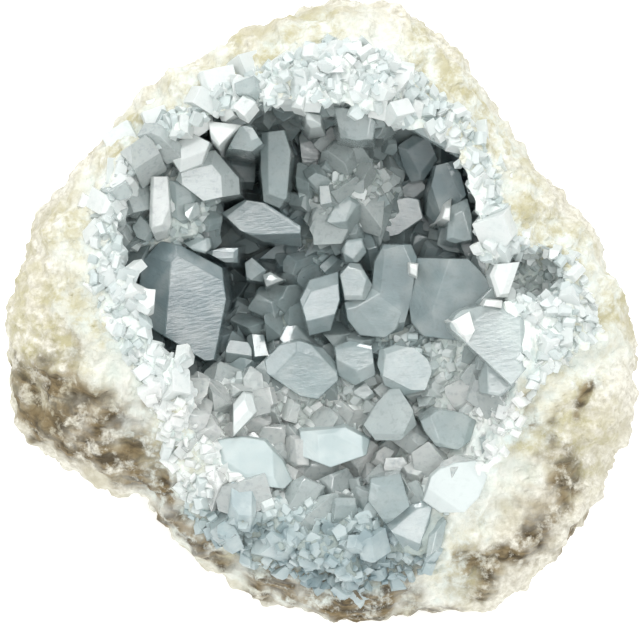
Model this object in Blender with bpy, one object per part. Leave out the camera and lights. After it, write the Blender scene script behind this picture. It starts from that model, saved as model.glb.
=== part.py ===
"""A celestite geode: a rough, lumpy nodule broken open on one side, its hollow lined with pale crystals.

It is modelled lying on its back, with the hollow facing up: local X runs across the broken face, local Y
up the face, and local Z out of the hollow. An empty then tips it to the way it rests, leaning back on a
small flat spot, and the world's +Z is up. There are two pieces: the rind, and the one crust of celestite
that grew inside it, which is the pale band on the broken rim and every crystal in the hollow.
"""

import math
import random

import bmesh
import bpy
from mathutils import Matrix, Vector, noise
from mathutils.bvhtree import BVHTree

MM = 0.001

# Driving dimensions, in millimetres and degrees.
LEAN = 35.0  # how far the broken face is tipped from facing straight up
REST_HEIGHT = 65.0  # of the middle of the nodule above the flat spot
BACK_DEPTH = 66.0  # from the nodule's widest section to its back
BACK_DRIFT = 16.0  # the back is this much higher up the face than the front
FRONT_ROUNDING, BACK_ROUNDING = 2.4, 2.2  # exponents of its side view: 2 is an ellipse, more is squarer
LUMP_HEIGHT, LUMP_SPACING = 2.4, 22.0
PEBBLE_HEIGHT, PEBBLE_SPACING = 1.7, 8.5
NODULE_TRIANGLES = 2500
CUP_MIDDLE = 6.0  # where the rind's inside is widest, in front of the widest section
CUP_DEPTH, CUP_TOP = 53.0, 80.0  # how far the rind's inside reaches back from there, and out
CUP_SIDES, CUP_ROWS = 42, 10
THINNEST_RIND = 7.0
GAP = 0.6  # between the rind and the crust, along lines from the middle of the cup
WALL_ROUGHNESS, WALL_SPACING = 2.2, 12.0

# The nodule's outline, seen square to the broken face, as points across and up the face.
OUTLINE = [
    (5, 74), (19, 72), (28, 66), (35, 60), (39, 53), (48, 41), (58, 29), (70, 10), (75, -6), (75, -24),
    (69, -38), (61.5, -52), (50.5, -62), (34, -71.5), (25.5, -70), (8, -74), (-5, -70.5), (-18, -66),
    (-32, -57), (-39.5, -48.5), (-41.5, -44), (-47, -42.5), (-56, -38.5), (-66, -30), (-72, -20),
    (-74.5, -1), (-72, 13), (-62, 32), (-48, 47), (-31, 59.5), (-17, 68),
]

# The outer edge of the pale band on the rim, seen the same way.
BAND_EDGE = [
    (5, 67), (19, 61), (28, 53), (39, 42), (43, 28), (46, 19), (60, 16), (66, 4), (65, -8), (52, -14),
    (47, -27), (42, -35), (33, -42), (29, -56), (24, -64), (7, -67), (-7, -64), (-21, -56), (-34, -44),
    (-36, -36), (-40, -20), (-49, -3), (-54, 6), (-53, 20), (-47, 36), (-36, 48), (-24, 55), (-9, 61),
]

# How far the rim stands in front of the widest section, round the face: (bearing in degrees, height).
RIM_HEIGHT = [(0, 24), (45, 23), (90, 23), (135, 23), (180, 24), (225, 20), (270, 18), (315, 22)]

# Lobes and knobs of the rock: (where, its spread, its height).
KNOBS = [
    ((-62, -24, -6), 13, 4.0),  # the lobe at the lower left, which overhangs the notch below it
    ((-45, -33, 10), 8, 2.5),
    ((51, -48, 10), 9, 4.5),  # the stained knob at the lower right
    ((38, -60, 6), 8, 4.0),
    ((61, -18, 12), 10, 3.0),
    ((58, 16, 6), 9, 2.0),
    ((-30, 56, 6), 11, 2.0),
    ((-42, -44, -8), 6, -5.0),  # the notch
    ((47, -36, 17), 5, -3.0),
    ((20, 66, -22), 18, 4.0),
    ((-50, 10, -40), 18, 3.5),
    ((2, -24, -60), 26, 4.0),  # the heavy part of the back, which it rests on
]

# The open space, as overlapping lumpy ellipsoids: (middle, half sizes).
HOLLOWS = {
    "main_hollow": ((-5, 18, 5), (45, 34, 36)),
    "upper_right_pocket": ((23, 28, 0), (16, 20, 25)),
    "left_pocket": ((-30, 4, 2), (17, 22, 24)),
    "open_lip": ((7, -17, 25), (39, 32, 28)),
    "right_alcove": ((48, 9.5, 16), (10, 6, 14)),
    "right_shoulder": ((33, 5, 17), (10, 10, 13)),
    "low_cleft": ((-22, -45, 17), (4, 6, 7)),
}

# Each crystal form is a block 1 x 1 x 1 standing on z = 0, cut by its crystal faces, each given as
# (point on the face, its normal).
FORMS = {
    "block": [
        ((0, 0.5, 0.82), (0, 0.7, 0.7)), ((0, -0.5, 0.7), (0, -0.7, 0.7)),
        ((0.5, 0, 0.86), (0.7, 0, 0.7)), ((-0.5, 0.34, 0), (-0.75, 0.66, 0)),
    ],
    "chisel": [
        ((0, 0, 1), (0, 0.62, 0.78)), ((0, 0, 1), (0, -0.5, 0.87)),
        ((0.5, 0, 0.74), (0.75, 0, 0.66)), ((-0.5, 0, 0.84), (-0.7, 0, 0.71)),
    ],
    "wedge": [
        ((0, -0.5, 1), (0, 0.5, 0.87)), ((0.5, 0, 0.7), (0.7, 0, 0.71)), ((-0.5, 0.3, 0), (-0.8, 0.6, 0)),
    ],
}

# Large crystals, each drawn as the photograph shows its front face: how far that face's middle lies in
# front of the widest section, how it slopes across and up, and its outline, across and up, taken
# anticlockwise.
SLABS = [
    (3, (-0.2, 0.1), [(-43.8, -0.8), (-27.3, -10.8), (-25.4, -10.6), (-22.5, 3.8), (-23.5, 11.4),
                      (-33, 16.7), (-38.1, 17.9), (-42.6, 12.9)]),  # the great left blade
    (8, (0.2, 0.06), [(20.9, 7.8), (22.1, -1.5), (24.7, -4.8), (34.5, -6.2), (39.5, -3.4), (42.8, 4.2),
                      (38.3, 10.4), (35.2, 13.5), (22.8, 13.5)]),  # the great right block
    (22, (-0.05, -0.12), [(30.3, -2.2), (30.5, -3.1), (44.6, -16.3), (49.3, -10.9), (49.3, -2.9),
                          (44.2, 2.8), (41.6, 3.2), (33.3, 1.3), (31.7, 0.2)]),  # the pale one before it
    (19, (-0.05, -0.12), [(37.5, -14.7), (37.7, -18), (42.4, -18.9), (47.2, -15.1), (46, -10.9),
                          (39.1, -10)]),
    (3, (-0.05, -0.15), [(-13.9, -11.5), (-13.6, -13.2), (-4.8, -19.2), (-0.5, -19.9), (4.3, -15.4),
                         (3.8, -11.5), (0.5, -7.9), (-4.8, -6), (-9.6, -7)]),  # the low one in the middle
    (9, (0.05, -0.3), [(10.4, -25.9), (13.1, -29.5), (19, -29.5), (22.8, -25.9), (21.8, -21.9),
                       (18.8, -17.4), (16.6, -17.6), (13.8, -20.5)]),  # those on the slope below
    (10, (0.05, -0.25), [(23.2, -23), (24.7, -27.1), (27.5, -30.9), (32.7, -31.8), (35.6, -29.7),
                         (37, -24.9), (33.7, -23), (26.6, -21.9)]),
    (15, (0.0, -0.3), [(-28.5, -32.1), (-27.1, -36.3), (-22.4, -39.2), (-8.5, -40.6), (-6.8, -38.9),
                       (-9.2, -34), (-13.2, -29.5), (-18.4, -28.6), (-24.5, -29.3)]),
    (13, (-0.09, -0.53), [(-20.5, -28.4), (-15.1, -22.5), (-16.3, -18.7), (-18.2, -18.2),
                          (-20.5, -20.8)]),
    (12, (0.0, -0.28), [(-4.7, -27.5), (-4.3, -33.2), (2.4, -35.8), (10.9, -32.9), (11.6, -29.4),
                        (5.9, -26.5)]),
    (13, (0.1, -0.1), [(37.8, -28.9), (38.3, -33.1), (40.6, -33.6), (41.8, -30.3), (40.1, -27.9)]),
    (17, (0.1, -0.1), [(11.3, -43.3), (19.7, -54.8), (23.7, -57.6), (28.4, -54.1), (29.6, -48.4),
                       (18.8, -37.2), (12, -38.3)]),  # the blue prism low on the lip
    (17, (0.0, -0.2), [(24.2, -43.3), (28.2, -46.1), (33.8, -45.9), (37.3, -42.3), (39.2, -37.6),
                       (36.6, -34.1), (29.6, -34.6), (26.1, -37.6)]),
    (4, (0.1, 0.12), [(-14.1, 34.9), (-13.4, 27.7), (-9.8, 26.2), (-7.9, 28.2), (-6.9, 39.2),
                      (-8.6, 44.4), (-13.9, 43.7)]),  # those that hang from the rim, from left to right
    (16, (0.1, -0.2), [(-26.3, 45.8), (-25.6, 41.8), (-23.8, 39.9), (-18.8, 44.9)]),
    (13, (0.1, 0.1), [(-21.7, 39.6), (-16.1, 38.9), (-13.7, 40.8), (-16.3, 45), (-18.9, 44.8)]),
    (14, (0.05, 0.1), [(3.3, 49.5), (5, 42.2), (8.7, 41.4), (12.5, 41.7), (13.2, 45.9), (10.6, 48)]),
    (15, (0.0, 0.0), [(-3.5, 48), (-3.1, 45.6), (-2.1, 44.5), (0.2, 44.7), (0, 47.3)]),
    (-8, (0.1, 0.2), [(18.9, 41.3), (20.4, 36.4), (22.3, 32.8), (25.3, 33.2), (28.7, 37.9), (26.7, 42.7),
                      (22.6, 43.9)]),
    (16, (0.2, 0.3), [(21.4, 44.2), (32.7, 37.6), (33.4, 41.1), (32.7, 44.6), (29.6, 46.7),
                      (24.7, 46.5)]),
    (8, (-0.1, 0.1), [(-34.2, 32.3), (-27.6, 27.3), (-19.3, 29.2), (-19.5, 32.8), (-25, 39.4),
                      (-32.1, 37.8)]),  # those at the upper left
    (5, (-0.2, 0.2), [(-36.3, 32.4), (-35.8, 24.1), (-32.2, 21.7), (-28.6, 26.9), (-29.1, 29.3),
                      (-32.9, 31.9)]),
    (9, (-0.09, -0.53), [(-32.3, 26.5), (-32.1, 23.9), (-30.9, 22.5), (-28.7, 24.2), (-29.2, 27)]),
    (10, (-0.25, 0.05), [(-40.5, 21.3), (-38.9, 18), (-36.5, 18.9), (-35.3, 21.8), (-36, 33.1),
                         (-40.1, 33.1)]),
    (4, (-0.1, -0.1), [(-32.5, 17.4), (-30.4, 15.7), (-27.5, 15), (-26.1, 16.4), (-26.5, 18.6),
                       (-29.6, 18.6)]),
    (0, (-0.1, 0.1), [(-27.4, 15.3), (-22.8, 12.9), (-19.9, 12.9), (-19.7, 16.3), (-23.5, 16.3)]),
    (10, (0.2, 0.0), [(30.1, 18), (32, 17.3), (36, 18), (36, 23.7), (34.9, 27.7), (30.8, 25.8)]),
    (2, (0.2, 0.2), [(26.4, 29.2), (26.6, 24.9), (28.3, 22.5), (35, 28.7), (33.8, 33.5), (32.1, 37.1),
                     (27.8, 35.9)]),  # those at the right
    (19, (-0.1, 0.0), [(39.8, 9.5), (41.5, 4.4), (44, 4.4), (46.8, 12.6), (41, 12.1)]),
    (-3, (-0.1, 0.15), [(-23.6, 24.8), (-19.1, 20.5), (-13.8, 18.3), (-4.8, 17.3), (-4.6, 21.7),
                        (-13, 27.2), (-18.1, 28)]),  # those in the middle of the hollow
    (-6, (0.1, 0.05), [(-18.2, 12.8), (-17.7, 8.7), (-14, 8.4), (-13.1, 11.1), (-16.5, 14)]),
    (-3, (-0.09, -0.53), [(-13.8, 9.9), (-13, 7), (-8.9, 8.7), (-12.1, 10.6)]),
    (2, (0.1, 0.12), [(12.5, 6.2), (14.6, -5.1), (19.9, -3.4), (21.8, 3.3), (23.2, 13.9), (21.8, 17),
                      (15.3, 17), (13.2, 12.9)]),
    (0, (0.0, 0.0), [(5.3, 15.8), (6.2, 12.9), (9.1, 12.9), (11.1, 15.3), (10.1, 18.7), (6.5, 18.2)]),
    (2, (0.0, 0.0), [(4.8, 9.8), (6, 3.8), (10.8, 3.8), (12.5, 7.4), (9.6, 12.4), (7.2, 12.7)]),
    (0, (-0.1, 0.05), [(-4.8, 3.8), (-2.4, -4.6), (2.4, -3.4), (4.8, 3.8), (4.3, 10.5), (-2.4, 8.6)]),
    (1, (0.05, 0.05), [(6, 3.1), (6.7, -1), (9.6, -4.6), (15.6, -5.3), (19.7, -2.2), (19.2, 6.2),
                       (12.5, 6.9)]),
    (3, (0.0, -0.1), [(3.6, -7.5), (4.3, -14.2), (8.4, -16.6), (13.2, -14.2), (12.4, -7.2), (7.2, -6)]),
    (5, (0.0, -0.05), [(13.8, -11.7), (15.5, -16.5), (20.3, -18.9), (25.1, -17.7), (26.7, -13.4),
                       (25.8, -10.5), (22.7, -7.7), (17.9, -7), (14.3, -8.2)]),
]
SLAB_ROOT, LONGEST_SLAB = 3.0, 34.0  # how far a slab is rooted in the bed, and the most that it reaches back
SLAB_FLARE = 0.05  # how much its sides spread towards the root
BEHIND_A_FACE = 1.5  # a smaller crystal's tip may stand within a slab's outline this far behind its face
STOCK = 100.0  # the block that a slab is cut from

# Smaller crystals fill the rest: in a sunflower pattern over the face, and fanned over the steep walls.
FACE_CRYSTALS, FACE_SPREAD = 150, 4.9
WALL_CRYSTALS = 44
WALL_LAMP = Vector((-3, 17, 0))  # the middle of the hollow, from which the walls are reached
DEEP_SIZE, SHALLOW_SIZE, BAND_SIZE = 10.5, 9.0, 10.0
ALCOVE_LEFT = 43.0  # small crystals leave the alcove at the right open
BAND_LEVEL = 15.0  # the hollow ends about this far in front of the widest section, and the broken rim begins
SMALL_FORMS = ["chisel", "wedge", "wedge", "block"]
SEED = 5

GOLDEN_ANGLE = math.pi * (3 - math.sqrt(5))
FLAT_ANGLE = math.radians(1)
SAME_POINT = 0.00001


def clear_scene():
    for old in list(bpy.data.objects):
        bpy.data.objects.remove(old, do_unlink=True)


def new_collection(name, inside):
    made = bpy.data.collections.new(name)
    inside.children.link(made)
    return made


def principled(name, colour, roughness):
    made = bpy.data.materials.new(name)
    made.use_nodes = True
    shader = made.node_tree.nodes["Principled BSDF"]
    shader.inputs["Base Color"].default_value = (*colour, 1.0)
    shader.inputs["Roughness"].default_value = roughness
    shader.inputs["Metallic"].default_value = 0.0
    return made


def add_object(name, mesh, collection, material, parent):
    made = bpy.data.objects.new(name, mesh)
    collection.objects.link(made)
    mesh.materials.append(material)
    made.parent = parent
    return made


def helper(made):
    """A cutter or a guide: it shapes a part and is no part itself."""
    made.hide_render = True
    made.display_type = "WIRE"
    return made


def by_bearing(points):
    """Points of an outline round the middle, as (bearing, distance) pairs in rising order."""
    return sorted((math.degrees(math.atan2(y, x)) % 360, math.hypot(x, y)) for x, y in points)


def around(values, x, y):
    """The value in the direction of (x, y), on a smooth closed curve through (bearing, value) pairs."""
    turn = math.degrees(math.atan2(y, x)) % 360
    ring = [(values[-2][0] - 360, values[-2][1]), (values[-1][0] - 360, values[-1][1]), *values]
    ring += [(values[0][0] + 360, values[0][1]), (values[1][0] + 360, values[1][1])]
    for before, start, end, after in zip(ring, ring[1:], ring[2:], ring[3:]):
        if start[0] <= turn <= end[0]:
            break
    span = end[0] - start[0]
    share = (turn - start[0]) / span
    leave = (end[1] - before[1]) / (end[0] - before[0]) * span
    arrive = (after[1] - start[1]) / (after[0] - start[0]) * span
    cube, square = share ** 3, share ** 2
    ends = (2 * cube - 3 * square + 1) * start[1] + (3 * square - 2 * cube) * end[1]
    return ends + (cube - 2 * square + share) * leave + (cube - square) * arrive


OUTLINE_REACH = by_bearing(OUTLINE)
BAND_REACH = by_bearing(BAND_EDGE)


def ripple(point, spacing):
    """Smooth noise from about -1 to 1, its lumps this far apart."""
    return noise.fractal(point / spacing, 1.0, 2.1, 2)


def rounded_reach(direction, width, depth, rounding):
    """How far a squared ellipse reaches along a direction: width across, depth along Z."""
    across = math.hypot(direction.x, direction.y)
    return ((across / width) ** rounding + (abs(direction.z) / depth) ** rounding) ** (-1 / rounding)


def nodule_point(direction):
    """Where the nodule's outside lies in a direction from its middle."""
    width = around(OUTLINE_REACH, direction.x, direction.y)
    if direction.z > 0:
        depth = around(RIM_HEIGHT, direction.x, direction.y)
        point = direction * rounded_reach(direction, width, depth, FRONT_ROUNDING)
    else:
        point = direction * rounded_reach(direction, width, BACK_DEPTH, BACK_ROUNDING)
        point.y += BACK_DRIFT * (point.z / BACK_DEPTH) ** 2
    bulge = LUMP_HEIGHT * ripple(point, LUMP_SPACING)
    bulge += PEBBLE_HEIGHT * ripple(point + Vector((40, 0, 0)), PEBBLE_SPACING)
    bulge *= min(1.0, abs(point.z) / 14 + 0.3)  # the outline itself stays nearly as drawn
    for where, spread, height in KNOBS:
        bulge += height * math.exp(-((point - Vector(where)).length_squared) / (2 * spread * spread))
    return point + direction * bulge


def cup_point(direction, inset):
    """Where the inside of the rind lies in a direction from the cup's middle, this far in."""
    band = around(BAND_REACH, direction.x, direction.y)
    rock = around(OUTLINE_REACH, direction.x, direction.y) - THINNEST_RIND
    width = min(band, rock) - inset
    if direction.z > 0:
        point = direction * rounded_reach(direction, width, CUP_TOP, 8)
    else:
        point = direction * rounded_reach(direction, width, CUP_DEPTH - inset, BACK_ROUNDING)
        point.y += BACK_DRIFT * 0.5 * (point.z / CUP_DEPTH) ** 2
    return point + Vector((0, 0, CUP_MIDDLE))


def hollow_point(direction, middle, half_sizes):
    """A point of one lumpy ellipsoid of the hollow."""
    point = Vector(d * h for d, h in zip(direction, half_sizes))
    swell = 1 + WALL_ROUGHNESS / max(half_sizes) * ripple(point + Vector(middle), WALL_SPACING)
    return Vector(middle) + point * swell


def moulded_sphere(name, shape, subdivisions=0):
    """A sphere whose points are moved by a function of their direction: an icosphere, or one of rows."""
    bm = bmesh.new()
    if subdivisions:
        bmesh.ops.create_icosphere(bm, subdivisions=subdivisions, radius=1.0)
    else:
        bmesh.ops.create_uvsphere(bm, u_segments=CUP_SIDES, v_segments=CUP_ROWS, radius=1.0)
    for vertex in bm.verts:
        vertex.co = shape(vertex.co.normalized()) * MM
    bmesh.ops.triangulate(bm, faces=bm.faces[:], quad_method="FIXED")
    mesh = bpy.data.meshes.new(name)
    bm.to_mesh(mesh)
    bm.free()
    return mesh


def boolean(made, name, operation, other):
    """A Boolean with one object, or with all of a collection's overlapping objects."""
    modifier = made.modifiers.new(name, "BOOLEAN")
    modifier.operation = operation
    modifier.solver = "EXACT"
    if isinstance(other, bpy.types.Collection):
        modifier.operand_type = "COLLECTION"
        modifier.collection = other
    else:
        modifier.object = other


def evaluated_mesh(made):
    """The object's mesh with its modifiers, in its own space."""
    bpy.context.view_layer.update()
    graph = bpy.context.evaluated_depsgraph_get()
    return bpy.data.meshes.new_from_object(made.evaluated_get(graph), depsgraph=graph)


def thinned(mesh, triangles):
    """The mesh with about this many triangles."""
    holder = bpy.data.objects.new("thinning", mesh)
    bpy.context.scene.collection.objects.link(holder)
    holder.modifiers.new("thin", "DECIMATE").ratio = triangles / len(mesh.polygons)
    made = evaluated_mesh(holder)
    bpy.data.objects.remove(holder)
    return made


def rest(pose, mesh):
    """Tip the geode to the way it rests, with the middle of its box over the world's origin."""
    pose.rotation_euler.x = math.radians(LEAN)
    turned = [pose.rotation_euler.to_matrix() @ vertex.co for vertex in mesh.vertices]
    for axis in range(2):
        along = [point[axis] for point in turned]
        pose.location[axis] = -(min(along) + max(along)) / 2
    pose.location.z = REST_HEIGHT * MM


def make_rind(nodule_mesh, parts, cutters, pose, rock):
    """The nodule, opened by the cup that the crust fills, and cut flat where it rests."""
    rind = add_object("rind", nodule_mesh.copy(), parts, rock, pose)
    cup_mesh = moulded_sphere("cup", lambda d: cup_point(d, 0))
    cup = helper(add_object("cup", cup_mesh, cutters, rock, pose))
    boolean(rind, "open the rind", "DIFFERENCE", cup)
    bpy.ops.mesh.primitive_cube_add(size=0.3, location=(0, 0, -0.15))
    floor = helper(bpy.context.object)
    floor.name = "below_the_flat_spot"
    bpy.context.collection.objects.unlink(floor)
    cutters.objects.link(floor)
    boolean(rind, "flat spot", "DIFFERENCE", floor)
    return rind


def cut_face(bm, point, normal):
    """Cut away what lies beyond a plane, and close the cut."""
    whole = bm.verts[:] + bm.edges[:] + bm.faces[:]
    cut = bmesh.ops.bisect_plane(bm, geom=whole, plane_co=point, plane_no=normal, clear_outer=True)
    rim = [edge for edge in cut["geom_cut"] if isinstance(edge, bmesh.types.BMEdge)]
    bmesh.ops.edgenet_fill(bm, edges=rim)


def cut_block(form):
    """A block 1 x 1 x 1 standing on z = 0, with the faces of one crystal form cut on it."""
    bm = bmesh.new()
    bmesh.ops.create_cube(bm, size=1.0, matrix=Matrix.Translation((0, 0, 0.5)))
    for point, normal in FORMS[form]:
        cut_face(bm, point, normal)
    bmesh.ops.recalc_face_normals(bm, faces=bm.faces[:])
    return bm


def cut_slab(height, slope, outline, surface):
    """A large crystal cut to its outline from a block, rooted where a line straight back meets the bed."""
    centre = sum((Vector(point) for point in outline), Vector((0, 0))) / len(outline)
    front = Vector((centre.x, centre.y, height))
    hit = surface.ray_cast((front + Vector((0, 0, 1))) * MM, Vector((0, 0, -1)))[0]
    depth = min(LONGEST_SLAB, max(height - hit.z / MM, 0) + SLAB_ROOT) if hit else LONGEST_SLAB
    bm = bmesh.new()
    bmesh.ops.create_cube(bm, size=STOCK, matrix=Matrix.Translation(front))
    cut_face(bm, front, Vector((-slope[0], -slope[1], 1)).normalized())
    cut_face(bm, front - Vector((0, 0, max(depth, 2 * SLAB_ROOT))), Vector((0, 0, -1)))
    for (x, y), (next_x, next_y) in zip(outline, outline[1:] + outline[:1]):
        rise = slope[0] * (x - centre.x) + slope[1] * (y - centre.y)
        outward = Vector((next_y - y, x - next_x, 0)).normalized()
        cut_face(bm, Vector((x, y, height + rise)), outward + Vector((0, 0, SLAB_FLARE)))
    bmesh.ops.recalc_face_normals(bm, faces=bm.faces[:])
    bm.transform(Matrix.Scale(MM, 4))
    return bm


def hides_a_slab(tip, margin):
    """True if a crystal's tip, in mm, stands before the front face of a slab or this near its edge."""
    for height, _, outline in SLABS:
        inside = tip.z > height - BEHIND_A_FACE
        for (x, y), (next_x, next_y) in zip(outline, outline[1:] + outline[:1]):
            edge = Vector((next_x - x, next_y - y))
            inward = edge.x * (tip.y - y) - edge.y * (tip.x - x)
            inside = inside and inward > -margin * edge.length
        if inside:
            return True
    return False


def standing(tip, aim, face, size):
    """The matrix that stands a unit block: its free end at tip, its length along aim, its front to face."""
    up = Vector(aim).normalized()
    side = Vector(face).cross(up).normalized()
    front = up.cross(side)
    axes = Matrix((side, front, up)).transposed().to_4x4()
    root = Vector(tip) - up * size[2]
    return Matrix.Scale(MM, 4) @ Matrix.Translation(root) @ axes @ Matrix.Diagonal((*size, 1))


def scattered(surface, draw):
    """The smaller crystals: (form, matrix) wherever a ray meets the crust."""
    made = []

    def grow(hit, normal, size, rise):
        lean = Vector([draw.uniform(-0.5, 0.5) for _ in range(3)])
        aim = (normal + lean + Vector((0, 0, 0.25))).normalized()
        face = Vector([draw.uniform(-1, 1) for _ in range(3)])
        width, length = size * draw.uniform(0.75, 1.25), size * draw.uniform(1.3, 1.7)
        tip = hit / MM + aim * length * rise
        form = draw.choice(SMALL_FORMS)
        if not hides_a_slab(tip, width * 0.4):
            made.append((form, standing(tip, aim, face, (width, width * 0.85, length))))

    for index in range(FACE_CRYSTALS):
        turn = index * GOLDEN_ANGLE
        far = FACE_SPREAD * math.sqrt(index + 0.5)
        x, y = far * math.cos(turn), far * math.sin(turn)
        hit, normal, _, _ = surface.ray_cast(Vector((x, y, 90)) * MM, Vector((0, 0, -1)))
        if hit is None or far > around(BAND_REACH, x, y) - 5 or x > ALCOVE_LEFT:
            continue
        if hit.z > BAND_LEVEL * MM:
            grow(hit, normal, BAND_SIZE, 0.16)
        else:
            grow(hit, normal, DEEP_SIZE if hit.z < 0 else SHALLOW_SIZE, 0.5)
    for index in range(WALL_CRYSTALS):
        turn = index * GOLDEN_ANGLE
        rise = -0.5 + 0.9 * (index + 0.5) / WALL_CRYSTALS
        level = math.sqrt(1 - rise * rise)
        way = Vector((level * math.cos(turn), level * math.sin(turn), rise))
        hit, normal, _, _ = surface.ray_cast(WALL_LAMP * MM, way)
        if hit is not None and hit.z < BAND_LEVEL * MM:
            grow(hit, normal, SHALLOW_SIZE, 0.5)
    return made


def crystal_cluster(surface):
    """Every crystal as one mesh of overlapping blocks."""
    blocks = [cut_slab(*slab, surface) for slab in SLABS]
    for form, matrix in scattered(surface, random.Random(SEED)):
        blocks.append(cut_block(form))
        blocks[-1].transform(matrix)
    cluster = bmesh.new()
    for block in blocks:
        one = bpy.data.meshes.new("one crystal")
        block.to_mesh(one)
        block.free()
        cluster.from_mesh(one)
        bpy.data.meshes.remove(one)
    mesh = bpy.data.meshes.new("crystals")
    cluster.to_mesh(mesh)
    cluster.free()
    return mesh


def solid_outside(mesh):
    """Fill the small spaces that the crystals close off: only the outer skin is kept."""
    bm = bmesh.new()
    bm.from_mesh(mesh)
    skins = []
    waiting = set(bm.faces)
    while waiting:
        skin, edge_on = set(), [waiting.pop()]
        while edge_on:
            face = edge_on.pop()
            skin.add(face)
            for edge in face.edges:
                for near in edge.link_faces:
                    if near in waiting:
                        waiting.remove(near)
                        edge_on.append(near)
        skins.append(skin)
    skins.sort(key=lambda skin: sum(face.calc_area() for face in skin))
    spare = [face for skin in skins[:-1] for face in skin]
    bmesh.ops.delete(bm, geom=spare, context="FACES")
    bmesh.ops.remove_doubles(bm, verts=bm.verts[:], dist=SAME_POINT)
    bmesh.ops.dissolve_limit(bm, angle_limit=FLAT_ANGLE, verts=bm.verts[:], edges=bm.edges[:])
    bmesh.ops.triangulate(bm, faces=bm.faces[:])
    bm.to_mesh(mesh)
    bm.free()


def make_crust(nodule_mesh, parts, cutters, pose, celestite):
    """What fills the rind's cup: the massive band and bed, hollowed, with every crystal joined to it."""
    crust = add_object("crystal_crust", nodule_mesh.copy(), parts, celestite, pose)
    hollows = new_collection("hollows", cutters)
    for name, (middle, half_sizes) in HOLLOWS.items():
        mesh = moulded_sphere(name, lambda d, m=middle, h=half_sizes: hollow_point(d, m, h), 2)
        helper(add_object(name, mesh, hollows, celestite, pose))
    boolean(crust, "hollow", "DIFFERENCE", hollows)
    bed = evaluated_mesh(crust)
    grown = bmesh.new()
    grown.from_mesh(bed)
    surface = BVHTree.FromBMesh(grown)
    grown.free()
    cluster = helper(add_object("crystals", crystal_cluster(surface), cutters, celestite, pose))
    boolean(crust, "crystals", "UNION", cluster)
    crust.modifiers["crystals"].use_self = True
    inside_mesh = moulded_sphere("inside_of_the_rind", lambda d: cup_point(d, GAP))
    inside = helper(add_object("inside_of_the_rind", inside_mesh, cutters, celestite, pose))
    boolean(crust, "within the rind", "INTERSECT", inside)
    skin = evaluated_mesh(crust)
    solid_outside(skin)
    crust.modifiers.clear()
    crust.data = skin
    return crust


def main():
    clear_scene()
    parts = new_collection("celestite_geode", bpy.context.scene.collection)
    cutters = new_collection("cutters", bpy.context.scene.collection)
    rock = principled("cream rock", (0.78, 0.74, 0.62), 0.85)
    celestite = principled("pale blue celestite", (0.62, 0.74, 0.78), 0.2)
    pose = bpy.data.objects.new("rest_pose", None)
    parts.objects.link(pose)
    nodule_mesh = thinned(moulded_sphere("nodule", nodule_point, 5), NODULE_TRIANGLES)
    rest(pose, nodule_mesh)
    make_rind(nodule_mesh, parts, cutters, pose, rock)
    make_crust(nodule_mesh, parts, cutters, pose, celestite)


if __name__ == "__main__":
    main()
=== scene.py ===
# %% [markdown]
# # A celestite geode
# A geode is a hollow nodule of rock. This one has been broken open, so it shows three things: a rough cream
# outside, a pale massive band where the crystals grew too close together to have faces, and the free crystals
# that stand in the hollow. Each gets its own step, because each has its own kind of surface.
# The solids are already made, at their real size. This script dresses them, and everything is in metres.

# %% Load the solids
import math
import random

import bpy
from mathutils import Matrix, Vector, noise
from mathutils.bvhtree import BVHTree


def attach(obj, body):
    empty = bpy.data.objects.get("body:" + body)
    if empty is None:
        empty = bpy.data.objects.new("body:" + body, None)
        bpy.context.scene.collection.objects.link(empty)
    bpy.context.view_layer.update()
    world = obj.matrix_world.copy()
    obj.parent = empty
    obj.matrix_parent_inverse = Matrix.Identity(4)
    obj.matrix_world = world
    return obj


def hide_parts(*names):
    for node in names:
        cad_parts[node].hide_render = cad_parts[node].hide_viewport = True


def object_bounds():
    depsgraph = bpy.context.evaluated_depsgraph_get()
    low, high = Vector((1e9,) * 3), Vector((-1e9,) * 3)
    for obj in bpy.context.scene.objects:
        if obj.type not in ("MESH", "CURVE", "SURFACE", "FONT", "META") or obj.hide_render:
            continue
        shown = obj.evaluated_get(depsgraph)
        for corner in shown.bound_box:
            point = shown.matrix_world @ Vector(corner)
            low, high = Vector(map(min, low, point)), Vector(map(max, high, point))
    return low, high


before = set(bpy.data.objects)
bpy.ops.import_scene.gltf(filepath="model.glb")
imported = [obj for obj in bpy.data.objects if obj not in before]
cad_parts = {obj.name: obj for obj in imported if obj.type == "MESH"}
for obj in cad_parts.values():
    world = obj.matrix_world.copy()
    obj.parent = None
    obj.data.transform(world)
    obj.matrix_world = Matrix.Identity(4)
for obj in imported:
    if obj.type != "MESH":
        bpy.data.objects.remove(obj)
cad_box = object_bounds()
MM = 0.001
print("solid box in mm:", [[round(value / MM, 1) for value in corner] for corner in cad_box])

# %% [markdown]
# The broken face leans back from facing straight up. It is easiest to think about the geode as the photograph
# shows it, square to that face: X across, Y up the face and Z out of the hollow, in millimetres. One matrix turns
# those coordinates into the world's.

# %% Coordinates square to the broken face
LEAN = math.radians(35.0)
FACE_MIDDLE = Vector((-0.361, -9.211, 65.0)) * MM
FACE = Matrix.Translation(FACE_MIDDLE) @ Matrix.Rotation(LEAN, 4, "X") @ Matrix.Scale(MM, 4)
TO_FACE = FACE.inverted()

# %% [markdown]
# Three small helpers stand for habits of working by hand: start with nothing selected, make one object active,
# and apply a modifier as soon as its result is wanted.

# %% Working habits as helpers


def clear_selection():
    for item in bpy.context.selected_objects:
        item.select_set(False)


def make_active(piece):
    clear_selection()
    piece.select_set(True)
    bpy.context.view_layer.objects.active = piece


def apply_new(piece, kind, **settings):
    """Add a modifier, set it, and apply it at once."""
    make_active(piece)
    modifier = piece.modifiers.new(kind.lower(), kind)
    for key, value in settings.items():
        setattr(modifier, key, value)
    bpy.ops.object.modifier_apply(modifier=modifier.name)


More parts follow.
